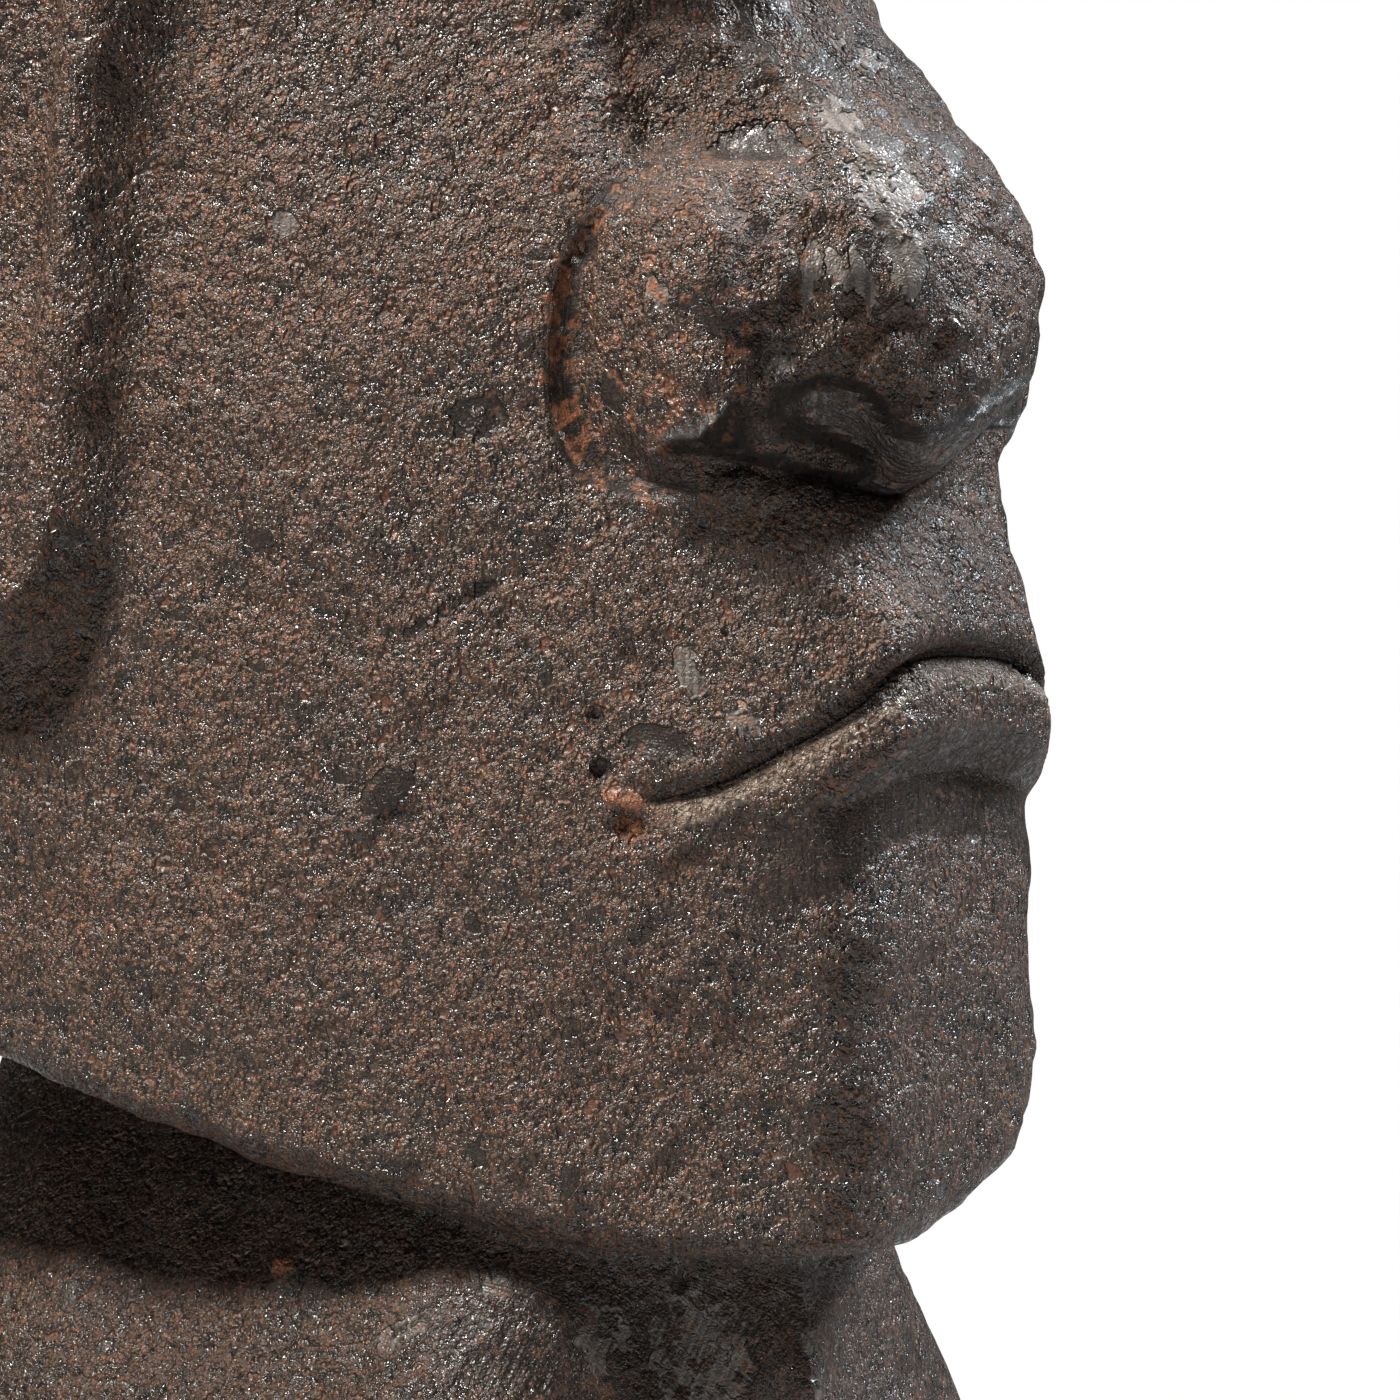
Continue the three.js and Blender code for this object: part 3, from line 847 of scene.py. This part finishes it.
# Every pattern that the height, the colour and the shine are made of, each a number from
# 0 to 1 or nearly so.
def stonePatterns(tree):
    place = addNode(tree, "ShaderNodeTexCoord").outputs["Object"]
    mottle = noise(tree, place, paint["mottlePerMetre"], 2, 0.6)
    crumbs = noise(tree, place, paint["crumbsPerMetre"], 3, 0.62)
    ragged = noise(tree, place, paint["raggedPerMetre"], 2, 0.7)
    fine = noise(tree, place, paint["finePerMetre"], 0, 0.5)
    stretch, along = {"Scale": paint["strokesPerMetre"]}, {"Vector": attribute(tree, "stroke", "Vector")}
    streak = noise(tree, addNode(tree, "ShaderNodeMapping", {}, stretch, along).outputs[0], 1, 1, 0.62)

    # drag is 1 where the clay was pulled smooth, plate 1 on a smear with a raised edge
    drag = step(tree, timesPlus(tree, mottle, 0.9, attribute(tree, "dragged")), levels["drag"])
    plate = step(tree, timesPlus(tree, crumbs, 1.0, attribute(tree, "plate")), levels["plate"])
    mark = addNode(tree, "ShaderNodeSeparateXYZ", {}, {}, {"Vector": attribute(tree, "mark", "Vector")})
    pale, dark, bare = [
        step(tree, timesPlus(tree, ragged, 2.2, share), levels["mark"]) for share in mark.outputs
    ]
    even = larger(tree, larger(tree, drag, plate), larger(tree, pale, dark))

    # round grains, none a plain cell because their places are warped
    warp = addNode(tree, "ShaderNodeCombineXYZ", {}, {}, {"X": crumbs, "Y": ragged, "Z": fine}).outputs[0]
    warpSize = {1: (paint["grainWarp"],) * 3}
    plus = {"operation": "MULTIPLY_ADD"}
    warped = addNode(tree, "ShaderNodeVectorMath", plus, warpSize, {0: warp, 2: place})
    density = {"Scale": paint["grainsPerMetre"]}
    cells = addNode(tree, "ShaderNodeTexVoronoi", {}, density, {"Vector": warped.outputs[0]}).outputs
    chance = addNode(tree, "ShaderNodeSeparateColor", {}, {}, {"Color": cells["Color"]}).outputs
    grain = endStep(tree, cells["Distance"], endLevels["grain"])
    grain = times(tree, grain, timesPlus(tree, chance["Green"], 0.6, 0.4))

    # ledge is 1 on the flaky rim of the lower lip, whose paler top is partly a painted highlight, and the
    # crack runs between the lips
    lipRise, lipHere = attribute(tree, "lipRise"), attribute(tree, "lipHere")
    ledge = step(tree, timesPlus(tree, crumbs, 4.0, lipRise), levels["ledgeStart"])
    ledge = times(tree, ledge, endStep(tree, lipRise, endLevels["ledgeEnd"]))
    ledge = times(tree, ledge, lipHere)
    wobbly = timesPlus(tree, reckon(tree, "SUBTRACT", mottle, 0.5), 3.0, lipRise)
    crack = endStep(tree, reckon(tree, "ABSOLUTE", wobbly), endLevels["crack"])
    crack = times(tree, crack, lipHere)

    # fissures follow one level of the ragged noise, and open only here and there; the colour paints them
    # dark as shade
    fissure = reckon(tree, "ABSOLUTE", reckon(tree, "SUBTRACT", ragged, 0.5))
    fissure = endStep(tree, fissure, endLevels["fissure"])
    fissure = times(tree, fissure, step(tree, mottle, levels["fissurePlace"]))

    # dry is where the brown wash took; in the wet rest the grains shine
    dry = timesPlus(tree, grain, 0.16, timesPlus(tree, mottle, 0.5, crumbs))
    dry = larger(tree, step(tree, dry, levels["dry"]), times(tree, ledge, 0.9))
    return {
        "mottle": mottle, "crumbs": crumbs, "ragged": ragged, "fine": fine, "streak": streak,
        "drag": drag, "plate": plate, "pale": pale, "dark": dark, "bare": bare, "even": even,
        "roughShare": timesPlus(tree, even, -0.75, 1.0), "grain": grain, "cellEdge": cells["Distance"],
        "redChance": chance["Red"], "blueChance": chance["Blue"], "ledge": ledge, "crack": crack,
        "fissure": fissure, "dry": dry, "hollow": attribute(tree, "hollow"),
    }


# The height in metres: grains and crumbs where it is rough, strokes where it was dragged.
def stoneHeight(tree, at):
    height = times(tree, at["grain"], paint["grainHeight"])
    height = timesPlus(tree, at["crumbs"], paint["crumbHeight"], height)
    height = times(tree, height, at["roughShare"])
    height = timesPlus(tree, at["fine"], paint["fineHeight"], height)
    height = timesPlus(tree, times(tree, at["streak"], at["drag"]), paint["strokeHeight"], height)
    height = timesPlus(tree, at["plate"], paint["plateHeight"], height)
    height = timesPlus(tree, at["crack"], -paint["crackDepth"], height)
    return timesPlus(tree, at["fissure"], -paint["fissureDepth"], height)


# Wet paint, brown wash with pale tops, clay on a few grains, painted shade between the grains.
def stoneColour(tree, at):
    top = times(tree, times(tree, at["dry"], at["grain"]), at["roughShare"])
    tanTop = times(tree, top, step(tree, at["blueChance"], levels["tanTop"]))
    clayTop = step(tree, timesPlus(tree, at["mottle"], 0.9, at["redChance"]), levels["clayTop"])
    grainGapShade = times(tree, step(tree, at["cellEdge"], levels["grainGapShade"]), at["roughShare"])
    colour = blend(tree, times(tree, at["dry"], at["roughShare"]), paint["soot"], paint["brown"])
    for share, name in [
        (times(tree, at["even"], step(tree, at["streak"], levels["smearStreak"])), "smear"),
        (tanTop, "tan"),
        (times(tree, top, clayTop), "clay"),
        # the flaky rim of the lower lip, paler partly as a painted highlight on its top
        (times(tree, at["ledge"], step(tree, at["crumbs"], (0.36, 0.56), (0.1, 0.9))), "tan"),
        (times(tree, at["ledge"], step(tree, at["ragged"], (0.44, 0.56), (0.1, 0.9))), "flakeHighlight"),
        # painted shade between the grains
        (times(tree, grainGapShade, 0.8), "shadeBlack"),
        # pale smears, and the painted highlight and sheen on the neck's keel and fans
        (times(tree, at["pale"], step(tree, at["streak"], (0.3, 0.6), (0.35, 1.0))), "pale"),
        (times(tree, at["bare"], step(tree, at["crumbs"], (0.35, 0.6), (0.2, 0.9))), "clay"),
        (times(tree, at["dark"], 0.7), "soot"),
        # painted shade in creases and under the jaw
        (times(tree, at["hollow"], 0.7), "shadeBlack"),
        # painted shade in the crack between the lips and in the fissures
        (larger(tree, at["crack"], times(tree, at["fissure"], 0.8)), "shadeBlack"),
    ]:
        colour = blend(tree, share, colour, paint[name])
    return colour


def paintedStone():
    material = bpy.data.materials.new("paintedStone")
    material.use_nodes = True
    tree = material.node_tree
    shader = tree.nodes["Principled BSDF"]
    patterns = stonePatterns(tree)
    height = {"Height": stoneHeight(tree, patterns)}
    bump = addNode(tree, "ShaderNodeBump", {}, {"Strength": 1.0, "Distance": 1.0}, height)
    wet = timesPlus(tree, patterns["dry"], 0.28, times(tree, patterns["blueChance"], 0.55))
    wet = timesPlus(tree, patterns["even"], 0.1, wet)
    for name, socket in [
        ("Base Color", stoneColour(tree, patterns)),
        ("Roughness", step(tree, wet, levels["wet"], paint["shine"])),
        ("Specular IOR Level", step(tree, wet, levels["wet"], paint["reflect"])),
        ("Normal", bump.outputs[0]),
    ]:
        tree.links.new(socket, shader.inputs[name])
    return material


statueHead.data.materials.append(paintedStone())
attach(statueHead, "root")
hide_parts("statue_head")
print("paint ready")


# Floor, lights and camera

studio = {
    "floorRadius": 1.0,
    "floorGap": 0.0002,  # under the statue's foot
    "floorGrey": 0.42,
    "whiteLook": 1.0,
    "surroundLight": 0.04,
    "cameraTurn": -50,  # degrees round from straight in front, towards the left cheek
    "cameraDistance": 1.8,
    "lens": 220,
    "aimAside": 0.057,
    "aimHeight": 0.245,
    "lightAim": (0, 0, 0.28),
}
turned = np.radians(studio["cameraTurn"])
toCamera = np.array([np.sin(turned), -np.cos(turned), 0])
toRight = np.array([np.cos(turned), np.sin(turned), 0])
upward = np.array([0, 0, 1.0])
axisPlace = np.array([statueAxis[0], statueAxis[1], lowCorner[2]])


def lookAt(thing, place, target):
    thing.location = place
    way = Vector(np.array(target) - np.array(place))
    thing.rotation_euler = way.to_track_quat("-Z", "Y").to_euler()


# A box light, placed to the right of the camera's line, above the floor and towards the
# camera. Lengths are in metres and the power in watts.
def addLight(name, rightward, high, near, width, tall, power, colour):
    light = bpy.data.lights.new(name, "AREA")
    light.shape = "RECTANGLE"
    light.size, light.size_y, light.energy, light.color = width, tall, power, colour
    thing = bpy.data.objects.new(name, light)
    bpy.context.collection.objects.link(thing)
    lookAt(thing, toRight * rightward + toCamera * near + upward * high, studio["lightAim"])


addLight("keyBox", -0.6, 1.6, 0.38, 0.32, 0.28, 70, (1, 0.96, 0.91))
addLight("sideBox", 1.35, 1.7, -0.45, 0.6, 0.6, 90, (0.86, 0.93, 1))

floorRing = np.linspace(0, 2 * np.pi, 97)[:-1]
floorPoints = np.stack([np.cos(floorRing), np.sin(floorRing), 0 * floorRing], axis=1)
floorPoints = floorPoints * studio["floorRadius"]
floorPoints[:, 2] = lowCorner[2] - studio["floorGap"]
floorMesh = bpy.data.meshes.new("paleFloor")
floorMesh.from_pydata(floorPoints.tolist(), [], [list(range(len(floorRing)))])
floorMaterial = bpy.data.materials.new("paleFloor")
floorMaterial.use_nodes = True
floorShader = floorMaterial.node_tree.nodes["Principled BSDF"]
floorShader.inputs["Base Color"].default_value = (*[studio["floorGrey"]] * 3, 1)
floorShader.inputs["Roughness"].default_value = 0.9
floorMesh.materials.append(floorMaterial)
paleFloor = bpy.data.objects.new("paleFloor", floorMesh)
bpy.context.collection.objects.link(paleFloor)

# White where the camera sees past the floor, and nearly dark as a light.
world = bpy.data.worlds.new("softWhite")
bpy.context.scene.world = world
world.use_nodes = True
worldTree = world.node_tree
background = worldTree.nodes["Background"]
background.inputs["Color"].default_value = (1, 1, 1, 1)
seen = addNode(worldTree, "ShaderNodeLightPath").outputs["Is Camera Ray"]
strength = step(worldTree, seen, (0, 1), (studio["surroundLight"], studio["whiteLook"]))
worldTree.links.new(strength, background.inputs["Strength"])
bpy.context.scene.view_settings.view_transform = "Standard"

cameraData = bpy.data.cameras.new("camera")
cameraData.lens = studio["lens"]
cameraData.sensor_width = 36
camera = bpy.data.objects.new("camera", cameraData)
bpy.context.collection.objects.link(camera)
target = axisPlace + toRight * studio["aimAside"] + upward * studio["aimHeight"]
lookAt(camera, target + toCamera * studio["cameraDistance"], target)
bpy.context.scene.camera = camera
print("studio ready")
